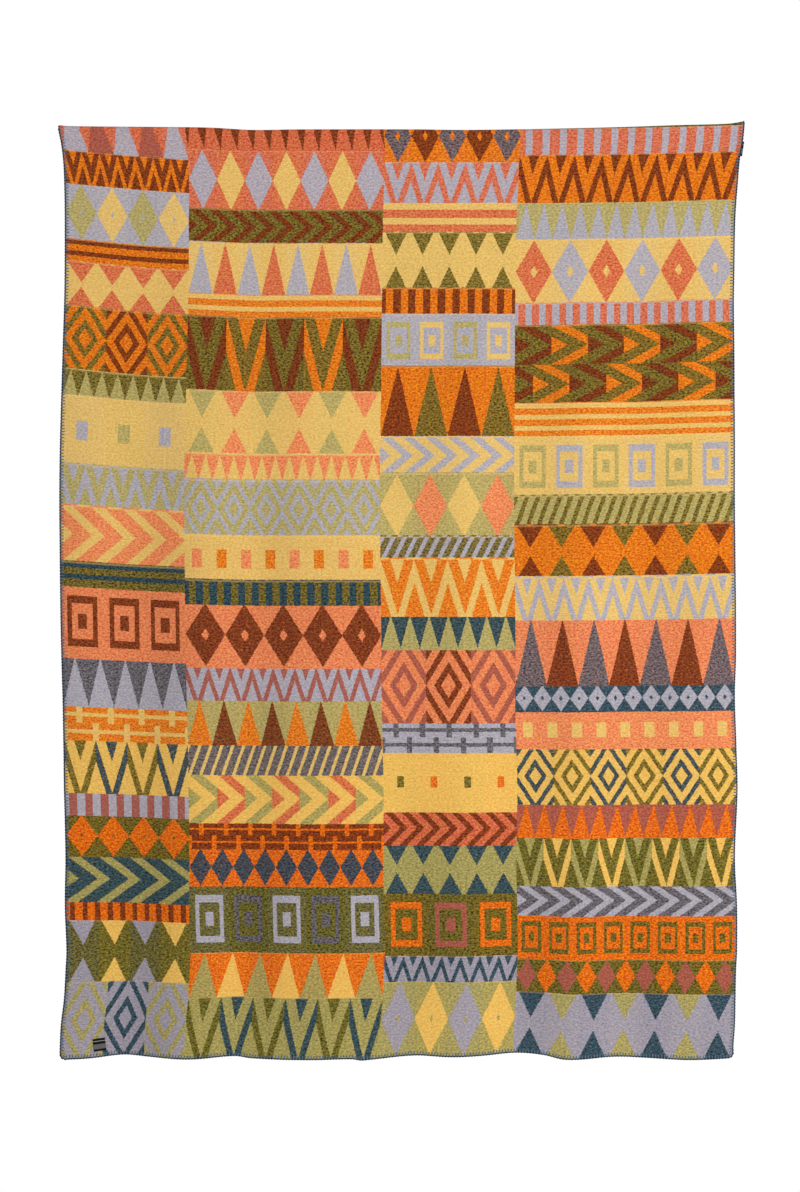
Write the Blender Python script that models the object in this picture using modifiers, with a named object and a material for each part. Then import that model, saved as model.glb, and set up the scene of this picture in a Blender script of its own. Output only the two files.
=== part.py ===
"""A felted wool blanket, hanging by its top edge, with two small sewn labels.

Metres, +Z up. The front faces -Y. The origin is the middle of the top edge, on the crest of
the roll over which the cloth turns back. "Down" is a distance below that crest, "across" and
"share" run from 0 to 1, and flat_x and flat_y are places on the cloth as it was cut.
"""

import math
from bisect import bisect_right
from collections import namedtuple

import bmesh
import bpy
from mathutils import Vector
from mathutils.bvhtree import BVHTree

MM = 0.001

# The cloth, as it was cut
CUT_WIDTH = 1.300
CUT_LENGTH = 1.800
THICKNESS = 3.0 * MM

# The top edge, rolled back over its own crest
ROLL_RADIUS = 5.0 * MM
ROLLED_BACK = 34 * MM
TAIL_FLARE = 3.0 * MM
QUARTER_TURN = ROLL_RADIUS * math.pi / 2

# The hanging face
HEM_DOWN = 1.761
HEM_WAVE_REACH = 0.09
FOLD_GROWTH = 0.36
HEM_DEPTH_FROM = 0.90
LIFT_SHAPE = 1.6
CORNER_RADIUS = 9 * MM
CORNER_SEGMENTS = 4
FACE_TOP = -THICKNESS / 2 - ROLL_RADIUS
HANG = (HEM_DOWN + FACE_TOP) / (CUT_LENGTH - ROLLED_BACK - QUARTER_TURN)

# The mesh of the cloth
COLUMNS = 48
SIDE_STRIP = 14 * MM
TAIL_ROWS = 2
ROLL_ROWS = 8
FACE_ROWS = 30
ROWS = TAIL_ROWS + ROLL_ROWS + FACE_ROWS

# The labels
LABEL_THICKNESS = 0.8 * MM
LABEL_GAP = 0.4 * MM
LABEL_SEGMENTS = 6
FRONT_LABEL_WIDTH = 23 * MM
FRONT_LABEL_HEIGHT = 24 * MM
FRONT_LABEL_PLACE = (-0.574, -1.739)
FRONT_LABEL_TURN = math.radians(6)
EDGE_LABEL_HEIGHT = 28 * MM
EDGE_LABEL_INSIDE = 12 * MM
EDGE_LABEL_PROUD = 4 * MM
EDGE_LABEL_TOP = -0.0225

# How far each side edge is drawn in from the line of its top corner
Side = namedtuple("Side", "down left_in right_in")
SIDES = [Side(down, left * MM, right * MM) for down, left, right in (
    (0.000, 0, 1),
    (0.030, 6, 4),
    (0.065, 10, 10),
    (0.110, 12, 14),
    (0.180, 13, 19),
    (0.280, 13, 21),
    (0.340, 12, 22),
    (0.440, 9, 21),
    (0.610, 4, 20),
    (0.710, 3, 20),
    (0.920, 5, 18),
    (1.010, 7, 18),
    (1.080, 9, 20),
    (1.180, 11, 17),
    (1.260, 12, 15),
    (1.380, 15, 20),
    (1.480, 14, 16),
    (1.560, 17, 16),
    (1.600, 15, 18),
    (1.650, 12, 19),
    (1.700, 6, 20),
    (1.745, 4, 23),
    (1.775, 3, 21),
)]

# How much higher a weft line runs at each side than in the middle
Lift = namedtuple("Lift", "down left right")
LIFTS = [Lift(down, left * MM, right * MM) for down, left, right in (
    (0.00, 24, 7),
    (0.50, 24, 7),
    (0.70, 19, 6),
    (0.90, 16, 5),
    (1.20, 11, 3),
    (1.45, 8, 2),
    (1.64, 1, 0),
    (1.78, 0, 0),
)]
LIFT_LEFT_FROM = -0.27
LIFT_RIGHT_FROM = 0.28

# The crest of the top edge, above the origin
Crest = namedtuple("Crest", "x rise")
CREST = [Crest(x, rise * MM) for x, rise in (
    (-0.650, 7),
    (-0.610, 6),
    (-0.500, 5),
    (-0.366, 3.5),
    (-0.284, -1),
    (-0.200, 0),
    (0.035, 0),
    (0.110, -1),
    (0.210, 0),
    (0.290, 1.5),
    (0.417, 4.5),
    (0.520, 8),
    (0.622, 11),
    (0.650, 15),
)]

# The waves of the hem, lower where the cloth swings forward
Wave = namedtuple("Wave", "x drop")
HEM = [Wave(x, drop * MM) for x, drop in (
    (-0.650, 3),
    (-0.590, 1),
    (-0.529, -4),
    (-0.480, -1),
    (-0.402, 2),
    (-0.315, -2),
    (-0.285, 2),
    (-0.240, 3),
    (-0.164, 3),
    (-0.088, 2),
    (-0.066, 5),
    (0.035, -3),
    (0.100, -1),
    (0.170, -3),
    (0.229, -7),
    (0.285, -4),
    (0.326, 3),
    (0.417, -1),
    (0.490, 1),
    (0.567, 3),
    (0.650, 0),
)]

# The soft vertical folds: a plus depth swings towards the viewer, a minus depth away
Fold = namedtuple("Fold", "x_top x_hem half_width depth_middle depth_hem start")
FOLDS = [Fold(top, hem, half, middle * MM, low * MM, start) for top, hem, half, middle, low, start in (
    (-0.62, -0.630, 0.11, 5, 8, 0.06),
    (-0.49, -0.529, 0.12, -8, -12, 0.02),
    (-0.36, -0.402, 0.12, 8, 11, 0.12),
    (-0.26, -0.315, 0.10, -5, -9, 0.20),
    (-0.13, -0.164, 0.15, 9, 12, 0.14),
    (0.01, 0.030, 0.13, -7, -10, 0.22),
    (0.12, 0.092, 0.10, 4, 7, 0.30),
    (0.25, 0.229, 0.14, -10, -15, 0.10),
    (0.36, 0.326, 0.11, 8, 13, 0.08),
    (0.46, 0.417, 0.12, -8, -8, 0.05),
    (0.58, 0.567, 0.13, 7, 10, 0.03),
)]

WOOL = ("wool", (0.800, 0.350, 0.060, 1.0), 0.95)
LABEL_SATIN = ("label_satin", (0.008, 0.008, 0.009, 1.0), 0.55)


def smooth_read(rows, key, value, place):
    """Read a column of a table at a place between its rows, on a smooth curve."""
    keys = [getattr(row, key) for row in rows]
    values = [getattr(row, value) for row in rows]
    if place <= keys[0]:
        return values[0]
    if place >= keys[-1]:
        return values[-1]
    low = bisect_right(keys, place) - 1
    high = low + 1

    def slope(at):
        before = max(at - 1, 0)
        after = min(at + 1, len(keys) - 1)
        return (values[after] - values[before]) / (keys[after] - keys[before])

    span = keys[high] - keys[low]
    t = (place - keys[low]) / span
    ease = t * t * (3 - 2 * t)
    leaving = t * (1 - t) ** 2 * span * slope(low)
    arriving = t * t * (t - 1) * span * slope(high)
    return values[low] * (1 - ease) + values[high] * ease + leaving + arriving


def smooth_step(low, high, place):
    """Ease from 0 at low to 1 at high."""
    t = min(max((place - low) / (high - low), 0.0), 1.0)
    return t * t * (3 - 2 * t)


def weft_lift(x, down):
    """How much the weft line at this height is raised towards the nearer side."""
    if x < LIFT_LEFT_FROM:
        share = (LIFT_LEFT_FROM - x) / (CUT_WIDTH / 2 + LIFT_LEFT_FROM)
        return smooth_read(LIFTS, "down", "left", down) * share ** LIFT_SHAPE
    if x > LIFT_RIGHT_FROM:
        share = (x - LIFT_RIGHT_FROM) / (CUT_WIDTH / 2 - LIFT_RIGHT_FROM)
        return smooth_read(LIFTS, "down", "right", down) * share ** LIFT_SHAPE
    return 0.0


def fold_depth(x, down):
    """How far the folds bring the cloth towards the viewer."""
    depth = 0.0
    towards_hem = smooth_step(HEM_DEPTH_FROM, HEM_DOWN, down)
    for fold in FOLDS:
        middle = fold.x_top + (fold.x_hem - fold.x_top) * down / HEM_DOWN
        away = abs(x - middle) / fold.half_width
        if away < 1:
            full = fold.depth_middle + (fold.depth_hem - fold.depth_middle) * towards_hem
            grown = smooth_step(fold.start, fold.start + FOLD_GROWTH, down)
            depth += full * grown * (1 + math.cos(math.pi * away)) / 2
    return depth


def middle_line(flat_y):
    """Height of the weft line in the middle, at a length from the top cut edge."""
    return FACE_TOP - (flat_y - ROLLED_BACK - QUARTER_TURN) * HANG


def rolled_back(flat_x):
    """Length of cloth between the top cut edge and the crest of the roll."""
    return ROLLED_BACK + (weft_lift(flat_x, 0.0) - smooth_read(CREST, "x", "rise", flat_x)) / HANG


def side_to_side(across, down):
    """The x of a point that lies a share of the way across the cloth."""
    half = CUT_WIDTH / 2
    left = -half + smooth_read(SIDES, "down", "left_in", down)
    right = half - smooth_read(SIDES, "down", "right_in", down)
    return left + (right - left) * across


def roll_point(across, around):
    """A point of the rolled top: around is the length past the crest, plus on the face."""
    flat_x = (across - 0.5) * CUT_WIDTH
    centre_z = FACE_TOP + smooth_read(CREST, "x", "rise", flat_x)
    if around >= -QUARTER_TURN:
        x = side_to_side(across, 0.0)
        angle = around / ROLL_RADIUS
        return Vector((x, -ROLL_RADIUS * math.sin(angle), centre_z + ROLL_RADIUS * math.cos(angle)))
    hanging = -around - QUARTER_TURN
    x = side_to_side(across, hanging)
    flare = TAIL_FLARE * (hanging / ROLLED_BACK) ** 2
    return Vector((x, ROLL_RADIUS + flare, centre_z - hanging))


def face_point(across, share):
    """A point of the hanging face, a share of the way from the roll to the hem."""
    flat_x = (across - 0.5) * CUT_WIDTH
    from_cut = rolled_back(flat_x) + QUARTER_TURN
    flat_y = from_cut + share * (CUT_LENGTH - from_cut)
    down = share * HEM_DOWN
    wave = smooth_read(HEM, "x", "drop", flat_x) * math.exp((down - HEM_DOWN) / HEM_WAVE_REACH)
    x = side_to_side(across, down)
    z = middle_line(flat_y) + weft_lift(flat_x, down) - wave
    return Vector((x, -ROLL_RADIUS - fold_depth(x, down), z))


def column_shares():
    """Where the columns of the mesh lie, with a narrow one along each side."""
    strip = SIDE_STRIP / CUT_WIDTH
    inner = [strip + (1 - 2 * strip) * step / (COLUMNS - 2) for step in range(COLUMNS - 1)]
    return [0.0] + inner + [1.0]


def shape_cloth(mesh):
    """Lay a flat grid out as the hanging cloth, from the cut edge over the roll to the hem."""
    shares = column_shares()
    for vert in mesh.verts:
        across = shares[round((vert.co.x + 0.5) * COLUMNS)]
        row = round((0.5 - vert.co.y) * ROWS)
        if row <= TAIL_ROWS:
            hanging = rolled_back((across - 0.5) * CUT_WIDTH) - QUARTER_TURN
            vert.co = roll_point(across, -QUARTER_TURN - hanging * (1 - row / TAIL_ROWS))
        elif row < TAIL_ROWS + ROLL_ROWS:
            vert.co = roll_point(across, QUARTER_TURN * (2 * (row - TAIL_ROWS) / ROLL_ROWS - 1))
        else:
            vert.co = face_point(across, (row - TAIL_ROWS - ROLL_ROWS) / FACE_ROWS)


def round_corners(mesh):
    """Round the four corners of the cut cloth."""
    corners = [vert for vert in mesh.verts if len(vert.link_edges) == 2]
    bmesh.ops.bevel(
        mesh, geom=corners, offset=CORNER_RADIUS, offset_type="OFFSET", affect="VERTICES",
        segments=CORNER_SEGMENTS, profile=0.5, material=-1,
    )


def new_object(name, mesh, collection, finish):
    """Turn a bmesh into a named object with a material of its own."""
    data = bpy.data.meshes.new(name)
    mesh.to_mesh(data)
    mesh.free()
    data.shade_smooth()
    part = bpy.data.objects.new(name, data)
    collection.objects.link(part)
    finish_name, colour, roughness = finish
    material = bpy.data.materials.new(finish_name)
    material.use_nodes = True
    shader = material.node_tree.nodes["Principled BSDF"]
    shader.inputs["Base Color"].default_value = colour
    shader.inputs["Roughness"].default_value = roughness
    shader.inputs["Metallic"].default_value = 0.0
    data.materials.append(material)
    return part


def thicken(part, thickness):
    """Give an open sheet its thickness, half to each side."""
    wall = part.modifiers.new("thickness", "SOLIDIFY")
    wall.thickness = thickness
    wall.offset = 0.0
    wall.use_even_offset = True


def make_blanket(collection):
    """The cloth: one sheet, its top rolled back, its face in soft folds."""
    mesh = bmesh.new()
    bmesh.ops.create_grid(mesh, x_segments=COLUMNS, y_segments=ROWS, size=0.5)
    shape_cloth(mesh)
    round_corners(mesh)
    part = new_object("blanket", mesh, collection, WOOL)
    thicken(part, THICKNESS)
    return part


def cloth_surface(blanket):
    """The blanket's finished skin, ready to be measured by straight lines."""
    bpy.context.view_layer.update()
    return BVHTree.FromObject(blanket, bpy.context.evaluated_depsgraph_get())


def skin_depth(skin, x, z, side):
    """The y of the cloth's skin at a place, seen from the front (-1) or the back (+1)."""
    hit = skin.ray_cast(Vector((x, side, z)), Vector((0, -side, 0)))[0]
    return hit.y


def label_grid(width, height):
    """A flat upright grid for a label, around the origin."""
    mesh = bmesh.new()
    bmesh.ops.create_grid(mesh, x_segments=LABEL_SEGMENTS, y_segments=LABEL_SEGMENTS, size=0.5)
    for vert in mesh.verts:
        vert.co = Vector((vert.co.x * width, 0.0, vert.co.y * height))
    return mesh


def make_front_label(skin, collection):
    """The label on the front, lying on the cloth near the lower left corner."""
    mesh = label_grid(FRONT_LABEL_WIDTH, FRONT_LABEL_HEIGHT)
    place_x, place_z = FRONT_LABEL_PLACE
    for vert in mesh.verts:
        turned_x = vert.co.x * math.cos(FRONT_LABEL_TURN) - vert.co.z * math.sin(FRONT_LABEL_TURN)
        turned_z = vert.co.x * math.sin(FRONT_LABEL_TURN) + vert.co.z * math.cos(FRONT_LABEL_TURN)
        x = place_x + turned_x
        z = place_z + turned_z
        y = skin_depth(skin, x, z, -1) - LABEL_GAP - LABEL_THICKNESS / 2
        vert.co = Vector((x, y, z))
    part = new_object("front_label", mesh, collection, LABEL_SATIN)
    thicken(part, LABEL_THICKNESS)


def make_edge_label(skin, collection):
    """The label behind the right edge, standing out a little past the cloth."""
    width = EDGE_LABEL_INSIDE + EDGE_LABEL_PROUD
    mesh = label_grid(width, EDGE_LABEL_HEIGHT)
    for vert in mesh.verts:
        z = EDGE_LABEL_TOP - EDGE_LABEL_HEIGHT / 2 + vert.co.z
        edge = side_to_side(1.0, -z)
        x = edge + EDGE_LABEL_PROUD - width / 2 + vert.co.x
        y = skin_depth(skin, min(x, edge - EDGE_LABEL_PROUD), z, 1) + LABEL_GAP + LABEL_THICKNESS / 2
        vert.co = Vector((x, y, z))
    part = new_object("edge_label", mesh, collection, LABEL_SATIN)
    thicken(part, LABEL_THICKNESS)


def main():
    for old in list(bpy.data.objects):
        bpy.data.objects.remove(old, do_unlink=True)
    collection = bpy.data.collections.new("wool_blanket")
    bpy.context.scene.collection.children.link(collection)
    blanket = make_blanket(collection)
    skin = cloth_surface(blanket)
    make_front_label(skin, collection)
    make_edge_label(skin, collection)


main()
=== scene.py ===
# %% [markdown]
# # A wool blanket, hung by its top edge
#
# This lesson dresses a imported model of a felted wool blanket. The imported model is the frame: it says
# how large the cloth is, where it hangs and where the two labels are sewn. Here the cloth gets its fine
# folds, its woven design, its stitched edge and its labels.

# %% Load the frame
import math
import random
from bisect import bisect_right
from collections import namedtuple

import bmesh
import bpy
from mathutils import Matrix, Vector, noise
from mathutils.bvhtree import BVHTree


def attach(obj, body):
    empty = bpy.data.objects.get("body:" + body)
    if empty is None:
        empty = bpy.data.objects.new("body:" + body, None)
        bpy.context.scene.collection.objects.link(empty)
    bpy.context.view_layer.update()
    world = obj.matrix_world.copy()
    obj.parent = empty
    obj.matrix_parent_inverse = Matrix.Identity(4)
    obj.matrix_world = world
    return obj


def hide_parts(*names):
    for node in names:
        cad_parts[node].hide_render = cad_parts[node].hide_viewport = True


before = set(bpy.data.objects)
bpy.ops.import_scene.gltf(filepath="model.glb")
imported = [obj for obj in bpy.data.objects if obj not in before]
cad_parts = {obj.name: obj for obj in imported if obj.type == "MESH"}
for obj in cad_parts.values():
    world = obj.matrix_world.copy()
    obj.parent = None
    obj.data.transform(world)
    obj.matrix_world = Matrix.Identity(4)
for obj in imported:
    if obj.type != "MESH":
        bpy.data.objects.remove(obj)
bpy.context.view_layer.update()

MM = 0.001

# %% [markdown]
# ## The cloth as it was cut
#
# A blanket of this kind is woven as one wide double cloth, then washed until it felts, brushed and cut.
# It is 1.30 m wide and 1.80 m long. Every place on it has two names here: where it is on the flat cut,
# and where it is in the room. The flat place drives the woven design, so the design bends with the folds.

# %% The sizes of the cut
CUT_WIDTH = 1.300
CUT_LENGTH = 1.800
THICKNESS = 3.0 * MM
CORNER_RADIUS = 9 * MM
print("cut:", CUT_WIDTH, "x", CUT_LENGTH, "m,", round(CUT_WIDTH * CUT_LENGTH, 2), "square metres")

# %% [markdown]
# ## How it hangs
#
# The two top corners are held, so the top edge is taut and turns back over itself, and the sides flare
# out towards those corners. Below them the cloth relaxes: it draws in at the sides and falls into soft
# vertical folds, which are deepest at the hem. Short tables hold the values that were read off. A smooth
# curve through each column of a table then gives the value anywhere between its rows.

# %% The roll of the top edge and the length of the face
ROLL_RADIUS = 5.0 * MM
ROLLED_BACK = 34 * MM
TAIL_FLARE = 3.0 * MM
QUARTER_TURN = ROLL_RADIUS * math.pi / 2
HEM_DOWN = 1.761
FACE_TOP = -THICKNESS / 2 - ROLL_RADIUS
HANG = (HEM_DOWN + FACE_TOP) / (CUT_LENGTH - ROLLED_BACK - QUARTER_TURN)

# %% Read a column of a table as a smooth curve


def curve(rows, key, value, unit=MM):
    """A function that reads a column of a table anywhere between its rows."""
    keys = [getattr(row, key) for row in rows]
    values = [getattr(row, value) * unit for row in rows]
    slopes = []
    for at in range(len(keys)):
        before, after = max(at - 1, 0), min(at + 1, len(keys) - 1)
        slopes.append((values[after] - values[before]) / (keys[after] - keys[before]))

    def read(place):
        if place <= keys[0]:
            return values[0]
        if place >= keys[-1]:
            return values[-1]
        low = bisect_right(keys, place) - 1
        span = keys[low + 1] - keys[low]
        t = (place - keys[low]) / span
        ease = t * t * (3 - 2 * t)
        bend = t * (1 - t) ** 2 * slopes[low] + t * t * (t - 1) * slopes[low + 1]
        return values[low] * (1 - ease) + values[low + 1] * ease + bend * span

    return read


def smooth_step(low, high, place):
    """Ease from 0 at low to 1 at high."""
    t = min(max((place - low) / (high - low), 0.0), 1.0)
    return t * t * (3 - 2 * t)


# %% How far the side edges are drawn in, in millimetres, at each height below the crest
Side = namedtuple("Side", "down left_in right_in")
SIDES = [Side(*row) for row in (
    (0.000, 0, 1),
    (0.030, 6, 4),
    (0.065, 10, 10),
    (0.110, 12, 14),
    (0.180, 13, 19),
    (0.280, 13, 21),
    (0.340, 12, 22),
    (0.440, 9, 21),
    (0.610, 4, 20),
    (0.710, 3, 20),
    (0.920, 5, 18),
    (1.010, 7, 18),
    (1.080, 9, 20),
    (1.180, 11, 17),
    (1.260, 12, 15),
    (1.380, 15, 20),
    (1.480, 14, 16),
    (1.560, 17, 16),
    (1.600, 15, 18),
    (1.650, 12, 19),
    (1.700, 6, 20),
    (1.745, 4, 23),
    (1.775, 3, 21),
)]
left_in = curve(SIDES, "down", "left_in")
right_in = curve(SIDES, "down", "right_in")


def side_to_side(across, down):
    """The x of a point that lies a share of the way across the cloth."""
    left = -CUT_WIDTH / 2 + left_in(down)
    right = CUT_WIDTH / 2 - right_in(down)
    return left + (right - left) * across


# %% How much a weft line rises towards each side, in millimetres
Lift = namedtuple("Lift", "down left right")
LIFTS = [Lift(*row) for row in (
    (0.00, 24, 7),
    (0.50, 24, 7),
    (0.70, 19, 6),
    (0.90, 16, 5),
    (1.20, 11, 3),
    (1.45, 8, 2),
    (1.64, 1, 0),
    (1.78, 0, 0),
)]
LIFT_LEFT_FROM = -0.27
LIFT_RIGHT_FROM = 0.28
LIFT_SHAPE = 1.6
lift_left = curve(LIFTS, "down", "left")
lift_right = curve(LIFTS, "down", "right")


def weft_lift(x, down):
    """How much the weft line at this height is raised towards the nearer side."""
    if x < LIFT_LEFT_FROM:
        share = (LIFT_LEFT_FROM - x) / (CUT_WIDTH / 2 + LIFT_LEFT_FROM)
        return lift_left(down) * share ** LIFT_SHAPE
    if x > LIFT_RIGHT_FROM:
        share = (x - LIFT_RIGHT_FROM) / (CUT_WIDTH / 2 - LIFT_RIGHT_FROM)
        return lift_right(down) * share ** LIFT_SHAPE
    return 0.0


# %% The crest of the top edge and the waves of the hem, in millimetres
Crest = namedtuple("Crest", "x rise")
CREST = [Crest(*row) for row in (
    (-0.650, 7),
    (-0.610, 6),
    (-0.500, 5),
    (-0.366, 3.5),
    (-0.284, -1),
    (-0.200, 0),
    (0.035, 0),
    (0.110, -1),
    (0.210, 0),
    (0.290, 1.5),
    (0.417, 4.5),
    (0.520, 8),
    (0.622, 11),
    (0.650, 15),
)]
crest_rise = curve(CREST, "x", "rise")

Wave = namedtuple("Wave", "x drop")
HEM = [Wave(*row) for row in (
    (-0.650, 3),
    (-0.590, 1),
    (-0.529, -4),
    (-0.480, -1),
    (-0.402, 2),
    (-0.315, -2),
    (-0.285, 2),
    (-0.240, 3),
    (-0.164, 3),
    (-0.088, 2),
    (-0.066, 5),
    (0.035, -3),
    (0.100, -1),
    (0.170, -3),
    (0.229, -7),
    (0.285, -4),
    (0.326, 3),
    (0.417, -1),
    (0.490, 1),
    (0.567, 3),
    (0.650, 0),
)]
HEM_WAVE_REACH = 0.09
hem_drop = curve(HEM, "x", "drop")

# %% The soft folds: plus swings towards the viewer, minus away, in millimetres
Fold = namedtuple("Fold", "x_top x_hem half_width depth_middle depth_hem start")
FOLDS = [Fold(*row) for row in (
    (-0.62, -0.630, 0.11, 5, 8, 0.06),
    (-0.49, -0.529, 0.12, -8, -12, 0.02),
    (-0.36, -0.402, 0.12, 8, 11, 0.12),
    (-0.26, -0.315, 0.10, -5, -9, 0.20),
    (-0.13, -0.164, 0.15, 9, 12, 0.14),
    (0.01, 0.030, 0.13, -7, -10, 0.22),
    (0.12, 0.092, 0.10, 4, 7, 0.30),
    (0.25, 0.229, 0.14, -10, -15, 0.10),
    (0.36, 0.326, 0.11, 8, 13, 0.08),
    (0.46, 0.417, 0.12, -8, -8, 0.05),
    (0.58, 0.567, 0.13, 7, 10, 0.03),
)]
FOLD_GROWTH = 0.36
HEM_DEPTH_FROM = 0.90


def fold_depth(x, down):
    """How far the folds bring the cloth towards the viewer."""
    depth = 0.0
    towards_hem = smooth_step(HEM_DEPTH_FROM, HEM_DOWN, down)
    for fold in FOLDS:
        middle = fold.x_top + (fold.x_hem - fold.x_top) * down / HEM_DOWN
        away = abs(x - middle) / fold.half_width
        if away < 1:
            full = fold.depth_middle + (fold.depth_hem - fold.depth_middle) * towards_hem
            grown = smooth_step(fold.start, fold.start + FOLD_GROWTH, down)
            depth += full * MM * grown * (1 + math.cos(math.pi * away)) / 2
    return depth


# %% [markdown]
# Felted wool is never quite smooth. Washing shrinks it unevenly, so the face cockles by a fraction of a
# millimetre, and the stitched edge, which is a little tighter than the cloth, flutters. Both are small
# waves of noise: real geometry, because a raking light shows them.

# %% The small unevenness of the felt
COCKLE = 0.7 * MM
COCKLE_PER_M = 16
FLUTTER = 1.6 * MM
FLUTTER_PER_M = 13
FLUTTER_REACH = 0.05


def unevenness(flat_x, flat_y, down):
    """Small waves of the felt, larger along the stitched sides and hem."""
    calm_top = smooth_step(0.0, 0.15, down)
    cockle = COCKLE * noise.noise(Vector((flat_x * COCKLE_PER_M, flat_y * COCKLE_PER_M, 3.7)))
    to_edge = min(CUT_WIDTH / 2 - abs(flat_x), CUT_LENGTH - flat_y)
    along = Vector((flat_x * FLUTTER_PER_M, flat_y * FLUTTER_PER_M, 9.1))
    flutter = FLUTTER * noise.noise(along) * math.exp(-to_edge / FLUTTER_REACH)
    return (cockle + flutter) * calm_top


# %% Where a place on the flat cut hangs in the room


def rolled_back(flat_x):
    """Length of cloth between the top cut edge and the crest of the roll."""
    return ROLLED_BACK + (weft_lift(flat_x, 0.0) - crest_rise(flat_x)) / HANG


def cloth_point(flat_x, flat_y):
    """The middle of the cloth's thickness, for a place on the flat cut."""
    across = flat_x / CUT_WIDTH + 0.5
    around = flat_y - rolled_back(flat_x)
    if around < QUARTER_TURN:
        centre_z = FACE_TOP + crest_rise(flat_x)
        if around >= -QUARTER_TURN:
            angle = around / ROLL_RADIUS
            x = side_to_side(across, 0.0)
            return Vector((x, -ROLL_RADIUS * math.sin(angle), centre_z + ROLL_RADIUS * math.cos(angle)))
        hanging = -around - QUARTER_TURN
        flare = TAIL_FLARE * (hanging / ROLLED_BACK) ** 2
        return Vector((side_to_side(across, hanging), ROLL_RADIUS + flare, centre_z - hanging))
    face_length = CUT_LENGTH - rolled_back(flat_x) - QUARTER_TURN
    down = (around - QUARTER_TURN) / face_length * HEM_DOWN
    x = side_to_side(across, down)
    wave = hem_drop(flat_x) * math.exp((down - HEM_DOWN) / HEM_WAVE_REACH)
    middle = FACE_TOP - (flat_y - ROLLED_BACK - QUARTER_TURN) * HANG
    depth = fold_depth(x, down) + unevenness(flat_x, flat_y, down)
    return Vector((x, -ROLL_RADIUS - depth, middle + weft_lift(flat_x, down) - wave))


# %% [markdown]
# ## The sheet
#
# The cloth is one grid, laid out on the flat cut and then moved to where each place hangs. Its corners
# are rounded on the flat cut, as shears would round them. Each vertex keeps its flat place as a UV, so
# that the weave follows the cloth round the roll and through the folds. A Solidify modifier gives the
# sheet its 3 mm, and puts the back of the cloth in a material of its own, because a double cloth shows
# the same design behind with its colours changed over.

# %% Make the grid of the cloth
COLUMNS = 150
TAIL_ROWS = 5
ROLL_ROWS = 14
FACE_ROWS = 200
EDGE_STEPS = (0.0, 3 * MM, 6 * MM, 10 * MM)


def places(length, steps):
    """Distances along a side: fine steps at both ends, even ones between."""
    first = list(EDGE_STEPS)
    last = [length - step for step in reversed(EDGE_STEPS)]
    inner = steps - 2 * (len(EDGE_STEPS) - 1)
    middle = [first[-1] + (last[0] - first[-1]) * step / inner for step in range(1, inner)]
    return first + middle + last


def rounded(flat_x, flat_y):
    """Bring a place past a rounded corner of the cut back onto its arc."""
    centre_x = math.copysign(CUT_WIDTH / 2 - CORNER_RADIUS, flat_x)
    centre_y = min(max(flat_y, CORNER_RADIUS), CUT_LENGTH - CORNER_RADIUS)
    past = Vector((flat_x - centre_x, flat_y - centre_y))
    if abs(flat_x) > abs(centre_x) and past.y and past.length > CORNER_RADIUS:
        past *= CORNER_RADIUS / past.length
        return centre_x + past.x, centre_y + past.y
    return flat_x, flat_y


def row_place(row, flat_x):
    """How far down the cut a row of the grid lies: few rows behind, many on the face."""
    back = rolled_back(flat_x) - QUARTER_TURN
    if row <= TAIL_ROWS:
        return back * row / TAIL_ROWS
    if row <= TAIL_ROWS + ROLL_ROWS:
        return back + 2 * QUARTER_TURN * (row - TAIL_ROWS) / ROLL_ROWS
    face = CUT_LENGTH - back - 2 * QUARTER_TURN
    steps = places(face, FACE_ROWS)
    return back + 2 * QUARTER_TURN + steps[row - TAIL_ROWS - ROLL_ROWS]


# %% Lay the grid out as the hanging cloth


def make_cloth():
    """The hanging sheet, with its flat places as UVs."""
    rows = TAIL_ROWS + ROLL_ROWS + FACE_ROWS
    columns = [place - CUT_WIDTH / 2 for place in places(CUT_WIDTH, COLUMNS)]
    heights = [[row_place(row, flat_x) for row in range(rows + 1)] for flat_x in columns]
    mesh = bmesh.new()
    bmesh.ops.create_grid(mesh, x_segments=COLUMNS, y_segments=rows, size=0.5)
    flat = {}
    for vert in mesh.verts:
        column = round((vert.co.x + 0.5) * COLUMNS)
        row = round((0.5 - vert.co.y) * rows)
        flat[vert] = rounded(columns[column], heights[column][row])
        vert.co = cloth_point(*flat[vert])
    cut = mesh.loops.layers.uv.new("cut")
    for face in mesh.faces:
        for loop in face.loops:
            flat_x, flat_y = flat[loop.vert]
            loop[cut].uv = (flat_x / CUT_WIDTH + 0.5, flat_y / CUT_LENGTH)
    return finished("blanket_cloth", mesh)


def finished(name, mesh):
    """Turn a bmesh into a named, smooth object that rides with the blanket."""
    data = bpy.data.meshes.new(name)
    mesh.to_mesh(data)
    mesh.free()
    data.shade_smooth()
    piece = bpy.data.objects.new(name, data)
    bpy.context.scene.collection.objects.link(piece)
    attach(piece, "root")
    return piece


def thicken(piece, thickness, behind=0, rim=0):
    """Give a sheet its thickness, half to each side, with materials for its back and rim."""
    wall = piece.modifiers.new("thickness", "SOLIDIFY")
    wall.thickness = thickness
    wall.offset = 0.0
    wall.use_even_offset = True
    wall.material_offset = behind
    wall.material_offset_rim = rim


cloth = make_cloth()
thicken(cloth, THICKNESS, behind=1)
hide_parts("blanket")
print("cloth:", len(cloth.data.polygons), "faces in one layer")

# %% [markdown]
# ## Colours and nodes
#
# Colours are chosen as sRGB hex values, the numbers that an eye dropper shows, and the shader wants
# linear light. One function turns one into the other. One more function adds a node of any kind.

# %% From hex to linear, and one node at a time


def linear(code):
    """An sRGB hex colour as linear red, green and blue."""
    values = [int(code[at:at + 2], 16) / 255 for at in (0, 2, 4)]
    return [v / 12.92 if v <= 0.04045 else ((v + 0.055) / 1.055) ** 2.4 for v in values]


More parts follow.
